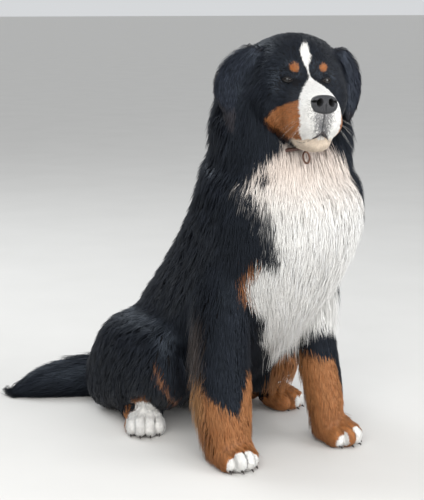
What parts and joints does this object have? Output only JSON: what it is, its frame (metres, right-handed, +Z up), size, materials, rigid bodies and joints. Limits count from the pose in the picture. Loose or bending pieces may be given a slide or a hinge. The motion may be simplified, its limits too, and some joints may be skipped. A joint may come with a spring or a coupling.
{
  "type": "sitting dog figure",
  "caption": "Sitting long-coated mountain dog, head turned a little to its right, black, white and rust, tail lying on the floor: a still life-size figure.",
  "frame": {"origin": "middle of the footprint of the whole dog, on the floor", "axes": "+Z up; the body faces -Y; +X is the dog's own left side"},
  "size_m": [0.617, 0.9746, 0.934],
  "materials": {
    "black_coat": "long black coat",
    "collar_leather": "brown leather, worn",
    "collar_ring": "dull reddish metal",
    "eye": "wet dark brown eye",
    "nose_leather": "moist black nose skin",
    "rust_coat": "rust-brown coat",
    "white_coat": "long white coat"
  },
  "bodies": {
    "root": {"collar": "collar_leather", "collar_loop": "collar_ring", "ear_left": "black_coat", "ear_right": "black_coat", "eye_left": "eye", "eye_right": "eye", "foreleg_left": "black_coat", "foreleg_right": "black_coat", "forepaw_left": "rust_coat", "forepaw_right": "rust_coat", "haunch_left": "black_coat", "haunch_right": "black_coat", "head": "black_coat", "hindfoot_left": "rust_coat", "hindfoot_right": "rust_coat", "hindpaw_left": "white_coat", "hindpaw_right": "white_coat", "jaw": "white_coat", "neck": "black_coat", "nose": "nose_leather", "tail": "black_coat", "trunk": "black_coat"}
  },
  "joints": []
}
